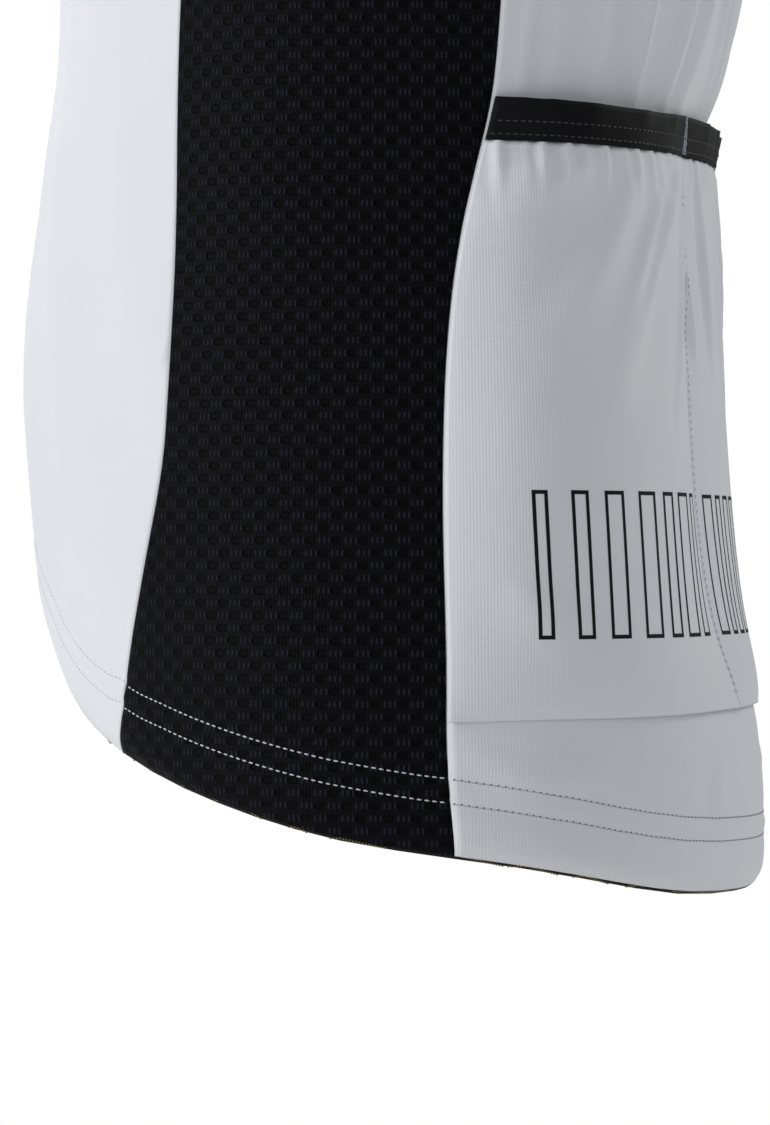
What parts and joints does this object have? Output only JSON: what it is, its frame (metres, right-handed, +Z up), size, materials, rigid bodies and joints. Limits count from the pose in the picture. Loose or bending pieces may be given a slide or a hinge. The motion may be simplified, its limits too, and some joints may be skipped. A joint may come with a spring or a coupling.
{
  "type": "cycling jersey",
  "caption": "Short-sleeved cycling jersey as worn, hollow, with mesh side panels, a stand collar, a full-length front zip and elastic-topped rear pockets.",
  "frame": {"origin": "midway between the two shoulder seams, where the wearer's shoulders hold the jersey up", "axes": "+X the wearer's left, -Y the front, +Z up"},
  "size_m": [0.7934, 0.2394, 0.7007],
  "materials": {
    "white_knit": "matt polyester interlock knit",
    "black_mesh": "matt polyester eyelet mesh",
    "black_elastic": "folded elastic binding",
    "gripper_elastic": "woven elastic with silicone beads",
    "zip_tape": "woven polyester tape",
    "zip_coil": "moulded nylon coil",
    "zip_metal": "satin zinc casting"
  },
  "bodies": {
    "garment": {"front_panel_left": "white_knit", "front_panel_right": "white_knit", "side_panel_left": "black_mesh", "side_panel_right": "black_mesh", "back_panel": "white_knit", "collar": "white_knit", "sleeve_left": "white_knit", "sleeve_right": "white_knit", "pocket_left": "white_knit", "pocket_middle": "white_knit", "pocket_right": "white_knit", "pocket_band_left": "black_elastic", "pocket_band_middle": "black_elastic", "pocket_band_right": "black_elastic", "hem_gripper": "gripper_elastic", "zip_tape_left": "zip_tape", "zip_tape_right": "zip_tape", "zip_coil": "zip_coil", "zip_box": "zip_metal", "zip_slider": "zip_metal"},
    "pull_tab": {"zip_pull": "zip_metal"}
  },
  "joints": [
    {"name": "pull_tab_swing", "type": "hinge", "parent": "garment", "child": "pull_tab", "pos_m": [0, -0.07007, -0.02364], "axis": [-1, 0, 0], "range_deg": [0, 140]}
  ]
}
